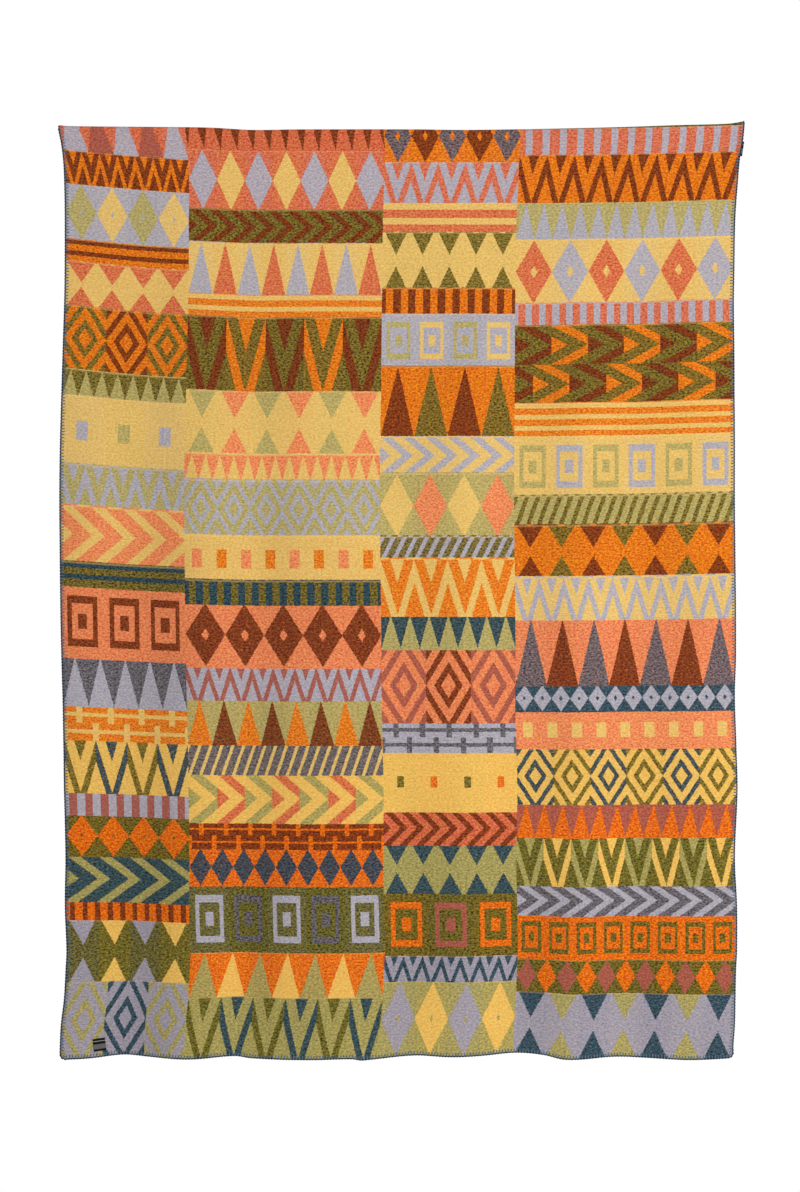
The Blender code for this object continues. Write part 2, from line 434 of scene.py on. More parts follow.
def add(tree, kind, settings=None, inputs=None):
    """Add a node with its settings, or only its operation, and with what feeds its inputs."""
    made = tree.nodes.new("ShaderNode" + kind)
    if isinstance(settings, str):
        settings = {"operation": settings}
    for name, value in (settings or {}).items():
        if name == "stops":
            ramp = made.color_ramp
            ramp.interpolation = "CONSTANT"
            while len(ramp.elements) < len(value):
                ramp.elements.new(1.0)
            for stop, (place, colour) in zip(ramp.elements, value):
                stop.position = place
                stop.color = (*colour, 1.0)
        else:
            setattr(made, name, value)
    for socket, value in (inputs or {}).items():
        if isinstance(value, bpy.types.Node):
            value = next(out for out in value.outputs if out.enabled)
        if isinstance(value, bpy.types.NodeSocket):
            tree.links.new(value, made.inputs[socket])
        else:
            made.inputs[socket].default_value = value
    return made


def new_material(name):
    """An empty material with its shader, ready for nodes."""
    material = bpy.data.materials.new(name)
    material.use_nodes = True
    return material, material.node_tree, material.node_tree.nodes["Principled BSDF"]


# A Mix node has several sockets of one name: 2 and 3 take numbers, and these two take colours.
MIX_A, MIX_B = 6, 7

# %% [markdown]
# ## The yarns
#
# The wool is dyed before it is spun, and the spinner blends shades, so each yarn is a heather: pale and
# dark fibres side by side. The felting then mixes them further. Each yarn here is a pair of colours, and
# a fine noise chooses between them. Light yarns are nearly even, and dark ones are strongly flecked.

# %% The yarn card
Yarn = namedtuple("Yarn", "name dark pale")
YARNS = [Yarn(*row) for row in (
    ("orange", "B24007", "F38E19"),
    ("coral", "B03616", "DD7F55"),
    ("straw", "CDA14A", "E3C175"),
    ("lavender", "858A9E", "BCB0B0"),
    ("sage", "878249", "C5AF6B"),
    ("olive", "050505", "957F2E"),
    ("rust", "360507", "924315"),
    ("petrol", "05050B", "345967"),
    ("slate", "11101D", "7D7579"),
    ("brick", "873C36", "AE624B"),
    ("salmon", "CA5830", "EE9965"),
    ("ember", "AE3206", "F78210"),
    # The next three yarns are darker copies of sage, olive and lavender, used only in the lower bands.
    # Their extra darkness is painted shade for the dimmer light towards the hem, and the first two are also
    # a little greener.
    ("moss_painted_shade", "75753D", "BDA963"),
    ("fern_painted_shade", "050505", "837927"),
    ("lavender_painted_shade", "787C92", "B0A1A3"),
    ("honey", "D5A244", "EDC167"),
)]
YARN_PLACES = 16
yarn_place = {yarn.name: (at + 0.5) / YARN_PLACES for at, yarn in enumerate(YARNS)}
dark_card = [(at / YARN_PLACES, linear(yarn.dark)) for at, yarn in enumerate(YARNS)]
pale_card = [(at / YARN_PLACES, linear(yarn.pale)) for at, yarn in enumerate(YARNS)]
print("yarns:", ", ".join(yarn_place))

# %% [markdown]
# ## The design
#
# The cloth is a jacquard double cloth: at each spot one of two yarns is on the face and the other is on
# the back. The design here is a plain one of traditional motifs: teeth, zigzags, diamonds, hourglasses,
# boxes, herringbone, rings and pegs, in bands of uneven height.
#
# All of them come from one formula. Inside a repeat, "across" and "up" run from 0 at its middle to 1 at
# its edge, "square" is the larger of the two, "slope" runs down the repeat and "slant" runs along it.
# A style gives each of these a weight and says how often the sum repeats. Where the sum is under the
# band's share, the motif's yarn is on the face.

# %% The styles of motif
Style = namedtuple("Style", "name across up square slope slant repeats")
STYLES = [Style(*row) for row in (
    ("plain", 0, 0, 0, 0, 0, 0),
    ("pegs", 1, 0, 0, 0, 0, 1),
    ("rows", 0, 0, 0, 1, 0, 1),
    ("teeth", 1, 0, 0, -1, 0, 0.5),
    ("zigzag", 1, 0, 0, 1, 0, 1),
    ("diamond", -1, -1, 0, 0, 0, 0.5),
    ("rings", 1, 1, 0, 0, 0, 1.5),
    ("box", 0, 0, 1, 0, 0, 0.5),
    ("boxes", 0, 0, 1, 0, 0, 2),
    ("hourglass", 1, -1, 0, 0, 0, 0.5),
    ("hatch", 0, 0, 0, 1, 1, 1),
    ("herring", 0, 1, 0, 0, 1, 1),
    ("crosses", 1, 1, -1, 0, 0, 0.5),
)]
STYLE_PLACES = 16
WEIGHT_SPAN = 4
style_place = {style.name: (at + 0.5) / STYLE_PLACES for at, style in enumerate(STYLES)}


def as_share(weight):
    """A weight from -2 to 2 as a number from 0 to 1, which a ramp can hold."""
    return weight / WEIGHT_SPAN + 0.5


# %% [markdown]
# The loom's chart counts in picks and ends. A ramp holds 256 steps, so one step of the chart is 1/255 of
# the cloth: 7 mm down it and 5 mm across. The four panels have their own bands, with a row for each.

# %% The bands of each panel: steps high, yarns, style, repeats across, rows, share
CHART_STEPS = 255
Band = namedtuple("Band", "steps ground motif accent style count rows share")
Panel = namedtuple("Panel", "left right bands")
PANELS = [
    Panel(0, 47, (
        (14, "coral", "lavender", "brick", "teeth", 5, 1, 0.5),
        (9, "rust", "orange", "orange", "zigzag", 7, 1, 0.42),
        (15, "lavender", "sage", "straw", "diamond", 4, 1, 0.45),
        (6, "orange", "rust", "rust", "rows", 1, 2, 0.4),
        (12, "straw", "coral", "coral", "hourglass", 4, 1, 0.45),
        (17, "orange", "olive", "rust", "rings", 3, 1, 0.45),
        (7, "olive", "sage", "sage", "teeth", 8, 1, 0.5),
        (18, "straw", "lavender", "sage", "box", 3, 1, 0.64),
        (11, "sage", "lavender", "lavender", "zigzag", 5, 1, 0.45),
        (15, "salmon", "straw", "straw", "herring", 4, 1, 0.4),
        (6, "olive", "petrol", "petrol", "rows", 1, 2, 0.4),
        (19, "salmon", "rust", "rust", "boxes", 3, 1, 0.42),
        (13, "slate", "lavender", "lavender", "teeth", 5, 1, 0.5),
        (9, "orange", "straw", "straw", "crosses", 4, 2, 0.6),
        (14, "honey", "olive", "petrol", "zigzag", 4, 1, 0.4),
        (6, "lavender", "brick", "brick", "pegs", 8, 1, 0.5),
        (11, "fern_painted_shade", "ember", "ember", "diamond", 4, 1, 0.45),
        (12, "petrol", "moss_painted_shade", "moss_painted_shade", "herring", 4, 1, 0.4),
        (5, "ember", "rust", "rust", "pegs", 10, 1, 0.4),
        (16, "fern_painted_shade", "lavender_painted_shade", "honey", "hourglass", 4, 1, 0.4),
        (20, "lavender_painted_shade", "moss_painted_shade", "petrol", "rings", 3, 1, 0.4),
    )),
    Panel(47, 121, (
        (11, "rust", "coral", "coral", "teeth", 12, 1, 0.5),
        (16, "coral", "lavender", "straw", "diamond", 7, 1, 0.503),
        (9, "olive", "rust", "rust", "herring", 10, 1, 0.45),
        (14, "straw", "lavender", "coral", "teeth", 8, 1, 0.5),
        (6, "orange", "straw", "straw", "rows", 1, 2, 0.45),
        (20, "olive", "rust", "orange", "zigzag", 5, 1, 0.45),
        (17, "straw", "sage", "salmon", "hourglass", 6, 1, 0.42),
        (7, "salmon", "straw", "straw", "teeth", 14, 1, 0.5),
        (15, "sage", "lavender", "lavender", "rings", 6, 1, 0.42),
        (12, "straw", "salmon", "orange", "box", 8, 1, 0.7),
        (6, "petrol", "olive", "olive", "pegs", 14, 1, 0.5),
        (17, "salmon", "rust", "rust", "diamond", 5, 1, 0.4),
        (9, "lavender", "brick", "brick", "zigzag", 9, 1, 0.42),
        (12, "sage", "orange", "rust", "teeth", 8, 1, 0.5),
        (8, "slate", "straw", "straw", "hatch", 18, 1, 0.3),
        (13, "honey", "moss_painted_shade", "coral", "herring", 7, 1, 0.45),
        (7, "rust", "ember", "ember", "crosses", 8, 2, 0.6),
        (10, "ember", "petrol", "petrol", "diamond", 9, 1, 0.503),
        (18, "fern_painted_shade", "lavender", "slate", "boxes", 5, 1, 0.42),
        (12, "ember", "moss_painted_shade", "honey", "teeth", 7, 1, 0.5),
        (16, "moss_painted_shade", "fern_painted_shade", "petrol", "zigzag", 6, 1, 0.4),
    )),
    Panel(121, 172, (
        (14, "orange", "slate", "rust", "diamond", 5, 1, 0.4),
        (11, "lavender", "coral", "coral", "zigzag", 5, 1, 0.45),
        (8, "coral", "straw", "straw", "rows", 1, 2, 0.45),
        (15, "straw", "olive", "olive", "hourglass", 5, 1, 0.4),
        (7, "rust", "orange", "orange", "pegs", 9, 1, 0.5),
        (14, "lavender", "sage", "straw", "boxes", 4, 1, 0.4),
        (19, "orange", "rust", "olive", "teeth", 4, 1, 0.5),
        (10, "straw", "lavender", "lavender", "herring", 6, 1, 0.45),
        (17, "sage", "straw", "salmon", "diamond", 4, 1, 0.503),
        (6, "olive", "lavender", "lavender", "hatch", 12, 1, 0.4),
        (15, "orange", "straw", "straw", "zigzag", 4, 1, 0.42),
        (9, "petrol", "sage", "sage", "teeth", 7, 1, 0.5),
        (20, "salmon", "brick", "rust", "rings", 3, 1, 0.45),
        (8, "lavender", "slate", "slate", "crosses", 5, 2, 0.6),
        (16, "honey", "fern_painted_shade", "ember", "box", 4, 1, 0.6),
        (9, "coral", "rust", "rust", "herring", 8, 1, 0.45),
        (13, "moss_painted_shade", "petrol", "petrol", "hourglass", 5, 1, 0.42),
        (17, "fern_painted_shade", "ember", "brick", "boxes", 3, 1, 0.4),
        (7, "lavender_painted_shade", "petrol", "petrol", "zigzag", 7, 1, 0.42),
        (20, "moss_painted_shade", "lavender_painted_shade", "honey", "diamond", 4, 1, 0.45),
    )),
    Panel(172, 255, (
        (5, "olive", "rust", "rust", "plain", 1, 1, 0),
        (7, "coral", "lavender", "lavender", "pegs", 13, 1, 0.4),
        (13, "orange", "rust", "rust", "zigzag", 8, 1, 0.42),
        (10, "sage", "lavender", "lavender", "teeth", 12, 1, 0.5),
        (17, "straw", "coral", "lavender", "diamond", 6, 1, 0.4),
        (6, "lavender", "coral", "coral", "pegs", 16, 1, 0.5),
        (21, "olive", "rust", "orange", "herring", 6, 2, 0.45),
        (9, "orange", "straw", "straw", "rows", 1, 3, 0.4),
        (16, "straw", "sage", "lavender", "boxes", 6, 1, 0.42),
        (8, "sage", "olive", "olive", "hatch", 20, 1, 0.42),
        (14, "orange", "rust", "olive", "hourglass", 7, 1, 0.42),
        (11, "straw", "lavender", "lavender", "zigzag", 9, 1, 0.42),
        (18, "salmon", "slate", "rust", "teeth", 7, 1, 0.5),
        (7, "petrol", "lavender", "lavender", "diamond", 12, 1, 0.4),
        (10, "salmon", "straw", "straw", "box", 9, 1, 0.7),
        (15, "honey", "petrol", "olive", "rings", 6, 1, 0.42),
        (9, "brick", "ember", "ember", "teeth", 12, 1, 0.5),
        (13, "fern_painted_shade", "moss_painted_shade", "honey", "zigzag", 8, 1, 0.42),
        (8, "slate", "lavender", "lavender", "herring", 10, 1, 0.45),
        (12, "ember", "fern_painted_shade", "fern_painted_shade", "boxes", 8, 1, 0.42),
        (9, "fern_painted_shade", "brick", "ember", "diamond", 11, 1, 0.503),
        (17, "lavender_painted_shade", "petrol", "moss_painted_shade", "hourglass", 7, 1, 0.42),
    )),
]

# %% Chart a panel's bands as three ramps
COUNT_SPAN = 32
ROWS_SPAN = 8


def chart(panel):
    """A panel's bands as the stops of three ramps that run down the cloth."""
    yarn_stops, repeat_stops, place_stops = [], [], []
    start = 0
    for band in (Band(*row) for row in panel.bands):
        at = max(start - 0.5, 0) / CHART_STEPS
        yarn_stops.append((at, [yarn_place[yarn] for yarn in (band.ground, band.motif, band.accent)]))
        repeat_stops.append((at, [style_place[band.style], band.count / COUNT_SPAN, band.rows / ROWS_SPAN]))
        place_stops.append((at, [start / CHART_STEPS, band.steps / CHART_STEPS, band.share]))
        start += band.steps
    return yarn_stops, repeat_stops, place_stops


for panel in PANELS:
    steps = sum(row[0] for row in panel.bands)
    print("panel at", panel.left, "has", len(panel.bands), "bands in", steps, "steps")

# %% [markdown]
# ## The weave as nodes
#
# First comes the place on the cut, in metres. A fine noise moves it by about a millimetre and it is then
# snapped to the loom's own small steps, so every outline is a little stepped and a little ragged, as the
# edges of a felted jacquard are. The ramps then say which band this is.

# %% Where on the chart a point of the cloth is
YARNS_PER_STEP = 4
END = CUT_WIDTH / CHART_STEPS / YARNS_PER_STEP
PICK = CUT_LENGTH / CHART_STEPS / YARNS_PER_STEP
RAGGED = 1.6 * MM


def chart_place(tree, metres, rag):
    """The stepped and ragged place on the chart, as shares of the cloth."""
    both = (2 * RAGGED, 2 * RAGGED, 0)
    back = (END / 2 - RAGGED, PICK / 2 - RAGGED, 0)
    moved = add(tree, "VectorMath", "MULTIPLY_ADD", {0: rag.outputs["Color"], 1: both, 2: metres})
    stepped = add(tree, "VectorMath", "SNAP", {0: moved, 1: (END, PICK, 1)})
    centred = add(tree, "VectorMath", "ADD", {0: stepped, 1: back})
    share = add(tree, "VectorMath", "DIVIDE", {0: centred, 1: (CUT_WIDTH, CUT_LENGTH, 1)})
    return add(tree, "SeparateXYZ", {}, {0: share})


# %% Which band it is


def band_facts(tree, place):
    """The facts of the band at a place: yarns, style and repeats, start, height and share."""
    down = place.outputs["Y"]
    across = place.outputs["X"]
    facts = [add(tree, "ValToRGB", {"stops": stops}, {0: down}) for stops in chart(PANELS[0])]
    for panel in PANELS[1:]:
        past = add(tree, "Math", "GREATER_THAN", {0: across, 1: panel.left / CHART_STEPS})
        for number, stops in enumerate(chart(panel)):
            here = add(tree, "ValToRGB", {"stops": stops}, {0: down})
            facts[number] = add(
                tree, "Mix", {"data_type": "RGBA"}, {0: past, MIX_A: facts[number], MIX_B: here}
            )
    return [add(tree, "SeparateColor", {}, {0: fact}) for fact in facts]


def panel_place(tree, place):
    """How far across its own panel a point is, from 0 to 1."""
    across = place.outputs["X"]
    edges = []
    for panel in PANELS:
        at = max(panel.left - 0.5, 0) / CHART_STEPS
        width = (panel.right - panel.left) / CHART_STEPS
        edges.append((at, [panel.left / CHART_STEPS, width, 0]))
    panel_ramp = add(tree, "ValToRGB", {"stops": edges}, {0: across})
    panel_facts = add(tree, "SeparateColor", {}, {0: panel_ramp})
    inside = add(tree, "Math", "SUBTRACT", {0: across, 1: panel_facts.outputs["Red"]})
    return add(tree, "Math", "DIVIDE", {0: inside, 1: panel_facts.outputs["Green"]})


# %% [markdown]
# Then the style's formula. Every second row of a band moves half a repeat along, which turns pegs into
# checks and boxes into half drops. Every second repeat takes the band's accent yarn instead.

# %% The motif at a point
ALMOST_ONE = 0.9999


def motif(tree, place, repeat, where):
    """Whether a motif is on the face here, and whether it is in the accent yarn."""
    count = add(tree, "Math", "MULTIPLY", {0: repeat.outputs["Green"], 1: COUNT_SPAN})
    rows = add(tree, "Math", "MULTIPLY", {0: repeat.outputs["Blue"], 1: ROWS_SPAN})
    below = add(tree, "Math", "SUBTRACT", {0: place.outputs["Y"], 1: where.outputs["Red"]})
    local = add(tree, "Math", "DIVIDE", {0: below, 1: where.outputs["Green"]})
    inside = add(tree, "Math", "MINIMUM", {0: local, 1: ALMOST_ONE})
    row_run = add(tree, "Math", "MULTIPLY", {0: inside, 1: rows})
    row = add(tree, "Math", "FLOOR", {0: row_run})
    down = add(tree, "Math", "FRACT", {0: row_run})
    odd_row = add(tree, "Math", "MODULO", {0: row, 1: 2})
    run = add(tree, "Math", "MULTIPLY", {0: panel_place(tree, place), 1: count})
    shifted = add(tree, "Math", "MULTIPLY_ADD", {0: odd_row, 1: 0.5, 2: run})
    along = add(tree, "Math", "FRACT", {0: shifted})
    number = add(tree, "Math", "FLOOR", {0: shifted})
    accent = add(tree, "Math", "MODULO", {0: number, 1: 2})
    from_middle = []
    for value in (along, down):
        centred = add(
            tree, "Math", "MULTIPLY_ADD", {0: value, 1: 2 * ALMOST_ONE, 2: -ALMOST_ONE}
        )
        from_middle.append(add(tree, "Math", "ABSOLUTE", {0: centred}))
    across, up = from_middle
    square = add(tree, "Math", "MAXIMUM", {0: across, 1: up})
    spread = (WEIGHT_SPAN, WEIGHT_SPAN, WEIGHT_SPAN)
    centre = (-WEIGHT_SPAN / 2, -WEIGHT_SPAN / 2, -WEIGHT_SPAN / 2)
    weights = []
    for first in (1, 4):
        stops = [(at / STYLE_PLACES, [as_share(w) for w in style[first:first + 3]])
                 for at, style in enumerate(STYLES)]
        ramp = add(tree, "ValToRGB", {"stops": stops}, {0: repeat.outputs["Red"]})
        weights.append(add(tree, "VectorMath", "MULTIPLY_ADD", {0: ramp, 1: spread, 2: centre}))
    shape = add(tree, "CombineXYZ", {}, {0: across, 1: up, 2: square})
    shaped = add(tree, "VectorMath", "DOT_PRODUCT", {0: weights[0], 1: shape})
    runs = add(tree, "SeparateXYZ", {}, {0: weights[1]})
    sloped = add(tree, "Math", "MULTIPLY_ADD", {0: runs.outputs["X"], 1: down, 2: shaped})
    slanted = add(tree, "Math", "MULTIPLY_ADD", {0: runs.outputs["Y"], 1: along, 2: sloped})
    total = add(tree, "Math", "ADD", {0: slanted, 1: 1})
    repeated = add(tree, "Math", "MULTIPLY", {0: total, 1: runs.outputs["Z"]})
    fraction = add(tree, "Math", "FRACT", {0: repeated})
    shown = add(tree, "Math", "LESS_THAN", {0: fraction, 1: where.outputs["Blue"]})
    return shown, accent


# %% [markdown]
# ## Felted wool
#
# The finish of a brushed, felted wool: matt, soft and slightly fuzzy, with no shine but a faint pale
# sheen at grazing angles from the raised fibres. Heather flecks are 2 to 6 mm long and lie along the
# weft. Now and then the yarn of the other side grins through, and a thin pale pick marks the top of each
# band. The dye is a little uneven, so hue and tone drift by a few parts in a hundred.

# %% The heather of one yarn


def heather(tree, index, flecks):
    """The colour of the yarn with this index, dark or pale by its flecks."""
    dark = add(tree, "ValToRGB", {"stops": dark_card}, {0: index})
    pale = add(tree, "ValToRGB", {"stops": pale_card}, {0: index})
    return add(tree, "Mix", {"data_type": "RGBA"}, {0: flecks, MIX_A: dark, MIX_B: pale})


# %% The felted double cloth, seen from its face or its back
FLECK = 3.8 * MM
FLECK_SHAPE = (0.75, 1.2, 1)
RAG_SIZE = 3.6 * MM
PILE = 1.6 * MM
# A Map Range node reads from 1 to 2 and gives from 3 to 4.
FLECKED = {1: 0.38, 2: 0.62}
GRINNING = {1: 0.56, 2: 0.70, 3: 0.03, 4: 0.34}
JOIN_SHARE = 0.2
JOIN_REACH = 1.8 * MM / CUT_LENGTH
JOIN_COLOUR = (*linear("EFC27A"), 1)
WEFT_PER_M = (14, 330, 1)
TONE_PER_M = 7
TONE_DRIFT = 0.07
HUE_DRIFT = 0.018
OTHER_PLACE = (7, 3, 5)


def make_wool(name, behind):
    """Brushed and felted double-faced wool in the woven design."""
    material, tree, shader = new_material(name)
    cut = add(tree, "UVMap", {"uv_map": "cut"})
    metres = add(tree, "VectorMath", "MULTIPLY", {0: cut, 1: (CUT_WIDTH, CUT_LENGTH, 1)})
    fray = {"Vector": metres, "Scale": 1 / RAG_SIZE, "Detail": 2, "Roughness": 0.7}
    rag = add(tree, "TexNoise", {}, fray)
    place = chart_place(tree, metres, rag)
    yarns, repeat, where = band_facts(tree, place)
    shown, accent = motif(tree, place, repeat, where)

    float_mix = {"data_type": "FLOAT"}
    ground = yarns.outputs["Red"]
    figure = add(tree, "Mix", float_mix, {0: accent, 2: yarns.outputs["Green"], 3: yarns.outputs["Blue"]})
    front = add(tree, "Mix", float_mix, {0: shown, 2: ground, 3: figure})
    back = add(tree, "Mix", float_mix, {0: shown, 2: figure, 3: ground})
    if behind:
        front, back = back, front

    lying = add(tree, "VectorMath", "MULTIPLY", {0: metres, 1: FLECK_SHAPE})
    fine = {"Scale": 1 / FLECK, "Roughness": 0.8}
    speckle = add(tree, "TexNoise", {}, {"Vector": lying, "Detail": 3, **fine})
    flecks = add(tree, "MapRange", {}, {0: speckle, **FLECKED})
    elsewhere = add(tree, "VectorMath", "ADD", {0: lying, 1: OTHER_PLACE})
    peeking = add(tree, "TexNoise", {}, {"Vector": elsewhere, "Detail": 2, **fine})
    grin = add(tree, "MapRange", {}, {0: peeking, **GRINNING})
    colour = add(tree, "Mix", {"data_type": "RGBA"}, {
        0: grin, MIX_A: heather(tree, front, flecks), MIX_B: heather(tree, back, flecks),
    })
    flat = add(tree, "SeparateXYZ", {}, {0: cut})
    at_join = add(tree, "Math", "COMPARE", {0: flat.outputs["Y"], 1: where.outputs["Red"], 2: JOIN_REACH})
    pick = add(tree, "Math", "MULTIPLY", {0: at_join, 1: JOIN_SHARE})
    joined = add(tree, "Mix", {"data_type": "RGBA"}, {0: pick, MIX_A: colour, MIX_B: JOIN_COLOUR})

    weft_lines = add(tree, "VectorMath", "MULTIPLY", {0: metres, 1: WEFT_PER_M})
    weft = add(tree, "TexNoise", {}, {"Vector": weft_lines, "Scale": 1, "Detail": 1, "Roughness": 0.5})
    patches = {"Vector": metres, "Scale": TONE_PER_M, "Detail": 2, "Roughness": 0.5}
    broad = add(tree, "TexNoise", {}, patches)
    both = add(tree, "Math", "ADD", {0: weft, 1: broad})
    tone = add(tree, "MapRange", {}, {0: both, 1: 0.6, 2: 1.4, 3: 1 - TONE_DRIFT, 4: 1 + TONE_DRIFT})
    drift = add(tree, "SeparateColor", {}, {0: rag.outputs["Color"]})
    turned = {0: drift.outputs["Blue"], 1: 0.3, 2: 0.7, 3: 0.5 - HUE_DRIFT, 4: 0.5 + HUE_DRIFT}
    hue = add(tree, "MapRange", {}, turned)
    toned = add(tree, "HueSaturation", {}, {"Hue": hue, "Value": tone, "Color": joined})

    pile = add(tree, "TexNoise", {}, {"Vector": metres, "Scale": 1 / PILE, "Detail": 3, "Roughness": 0.7})
    raised = add(tree, "Math", "MULTIPLY_ADD", {0: shown, 1: 0.35, 2: pile})
    ribbed = add(tree, "Math", "MULTIPLY_ADD", {0: weft, 1: 0.5, 2: raised})
    bump = add(tree, "Bump", {}, {"Strength": 0.55, "Distance": 0.7 * MM, "Height": ribbed})
    tree.links.new(toned.outputs[0], shader.inputs["Base Color"])
    tree.links.new(bump.outputs[0], shader.inputs["Normal"])
    shader.inputs["Roughness"].default_value = 0.94
    shader.inputs["IOR"].default_value = 1.5
    shader.inputs["Specular IOR Level"].default_value = 0.1
    shader.inputs["Sheen Weight"].default_value = 0.06
    shader.inputs["Sheen Roughness"].default_value = 0.6
    print(name, "has", len(tree.nodes), "nodes")
    return material


cloth.data.materials.append(make_wool("felted_wool_face", behind=False))
cloth.data.materials.append(make_wool("felted_wool_back", behind=True))

# %% [markdown]
# ## The stitched edge
#
# All four edges are whipped by machine in blanket stitch with a thick, dark petrol yarn. Seen from the
# front, each stitch is a short bar that runs 5.5 mm in from the edge, and a purl of yarn lies along the
# edge itself between the bars. The bar goes round the edge and is the same behind.
#
# One stitch is made as a small tube: a ring that is extruded from place to place along its path. It is
# then copied to each place along the edge, a thousand times, so it has only a few dozen faces.

# %% A tube of yarn, extruded ring by ring


def yarn_tube(mesh, path, side, sides):
    """Extrude a round cap along a path of (place, radius); side is square to the whole path."""
    last = None
    for at, (place, radius) in enumerate(path):
        ahead = path[min(at + 1, len(path) - 1)][0] - path[max(at - 1, 0)][0]
        ahead.normalize()
        turn = Matrix((side, ahead.cross(side), ahead)).transposed().to_4x4()
        matrix = Matrix.Translation(place) @ turn @ Matrix.Scale(radius, 4)
        if last is None:
            made = bmesh.ops.create_circle(mesh, cap_ends=True, segments=sides, radius=1.0, matrix=matrix)
            cap = made["verts"][0].link_faces[0]
        else:
            grown = bmesh.ops.extrude_face_region(mesh, geom=[cap])["geom"]
            cap = next(item for item in grown if isinstance(item, bmesh.types.BMFace))
            bmesh.ops.transform(mesh, matrix=matrix @ last.inverted(), verts=cap.verts)
        last = matrix


# %% One bar and one purl, on a straight edge
# Along the edge is X, into the cloth is Y and out of its face is Z.
STITCH_PITCH = 5.7 * MM
BITE = 5.5 * MM
YARN_RADIUS = 1.55 * MM
BAR_RADIUS = 1.2 * MM
PURL_OUT = 0.8 * MM
OVER = THICKNESS / 2 - 0.3 * MM
DIVE = 1.2 * MM
BAR_SIDES = 6
PURL_SIDES = 6


def bar_template():
    """A stitch that comes out of the face, runs over the edge and goes in behind."""
    mesh = bmesh.new()
    end = (Vector((0, BITE + DIVE / 2, OVER - DIVE)), 0.6 * BAR_RADIUS)
    path = [end] + [(Vector((0, BITE * share, OVER)), BAR_RADIUS) for share in (0.92, 0.5, 0.1)]
    path += [(Vector((0, -OVER, 0)), BAR_RADIUS)]
    path += [(Vector((0, place.y, -place.z)), radius) for place, radius in reversed(path[:-1])]
    yarn_tube(mesh, path, Vector((1, 0, 0)), BAR_SIDES)
    return template(mesh)


def purl_template():
    """The yarn that lies along the edge from one bar to the next, thickest in its middle."""
    mesh = bmesh.new()
    path = []
    for along, fat in ((-0.1, 0.6), (0.1, 1.0), (0.5, 1.4), (0.9, 1.0), (1.1, 0.6)):
        path.append((Vector((along * STITCH_PITCH, -PURL_OUT, 0)), fat * YARN_RADIUS))
    yarn_tube(mesh, path, Vector((0, 0, 1)), PURL_SIDES)
    return template(mesh)


def template(mesh):
    """Keep a small bmesh as mesh data that can be copied many times."""
    bmesh.ops.recalc_face_normals(mesh, faces=mesh.faces)
    data = bpy.data.meshes.new("template")
    mesh.to_mesh(data)
    mesh.free()
    return data


# %% The way round the edge, on the flat cut


def edge_places():
    """Even places round the rounded cut: where each is, and which way is inwards."""
    straight_x = CUT_WIDTH - 2 * CORNER_RADIUS
    straight_y = CUT_LENGTH - 2 * CORNER_RADIUS
    arc = CORNER_RADIUS * math.pi / 2
    corners = [
        (Vector((CUT_WIDTH / 2, 0)), Vector((-1, 0)), straight_x),
        (Vector((-CUT_WIDTH / 2, 0)), Vector((0, 1)), straight_y),
        (Vector((-CUT_WIDTH / 2, CUT_LENGTH)), Vector((1, 0)), straight_x),
        (Vector((CUT_WIDTH / 2, CUT_LENGTH)), Vector((0, -1)), straight_y),
    ]
    whole = 2 * (straight_x + straight_y) + 4 * arc
    total = round(whole / STITCH_PITCH)
    made = []
    for number in range(total):
        gone = whole * number / total
        for corner, ahead, straight in corners:
            inward = Vector((ahead.y, -ahead.x))
            if gone < straight:
                made.append((corner + ahead * (CORNER_RADIUS + gone), inward))
                break
            gone -= straight
            if gone < arc:
                turned = gone / CORNER_RADIUS
                centre = corner + ahead * (straight + CORNER_RADIUS) + inward * CORNER_RADIUS
                outward = ahead * math.sin(turned) - inward * math.cos(turned)
                made.append((centre + outward * CORNER_RADIUS, -outward))
                break
            gone -= arc
    return made


# %% Sew the edge
SEED = 11
SLANT = math.radians(7)
FEEL = 4 * MM


def edge_frames():
    """For each stitch: its place, along the edge, into the cloth and out of its face."""
    spots = edge_places()
    frames = []
    for number, (place, inward) in enumerate(spots):
        here = cloth_point(*place)
        ahead = cloth_point(*spots[(number + 1) % len(spots)][0])
        behind = cloth_point(*spots[number - 1][0])
        along = (ahead - behind) / 2
        inside = cloth_point(*(place + inward * FEEL)) - here
        out = along.cross(inside).normalized()
        frames.append((here, along, out.cross(along).normalized(), out))
    return frames


def sew(name, data, frames, loose):
    """Copy a template to every frame, each a little different, as one mesh."""
    mesh = bmesh.new()
    chance = random.Random(SEED)
    size = len(data.vertices)
    for here, along, into, out in frames:
        mesh.from_mesh(data)
        mesh.verts.ensure_lookup_table()
        reach = 1 + chance.uniform(-0.12, 0.12) * loose
        lean = into + along.normalized() * math.tan(chance.uniform(-SLANT, SLANT)) * loose
        for vert in mesh.verts[-size:]:
            local = vert.co.copy()
            vert.co = here + along * (local.x / STITCH_PITCH) + lean * local.y * reach + out * local.z
    return finished(name, mesh)


frames = edge_frames()
bars = sew("edge_bars", bar_template(), frames, loose=1)
purl = sew("edge_purl", purl_template(), frames, loose=0)
print("stitches:", len(frames))
print("faces of the bars:", len(bars.data.polygons), "and of the purl:", len(purl.data.polygons))

# %% [markdown]
# The edge yarn is the same wool in a dark petrol blue. Paler streaks along its plies are partly pale fibres
# and partly a painted highlight where the plies catch the light. The bars sink into the felt and its pale
# fuzz lies over them, so they look greyer than the purl.

# %% The edge yarn
PLY_LENGTH = 2.2 * MM


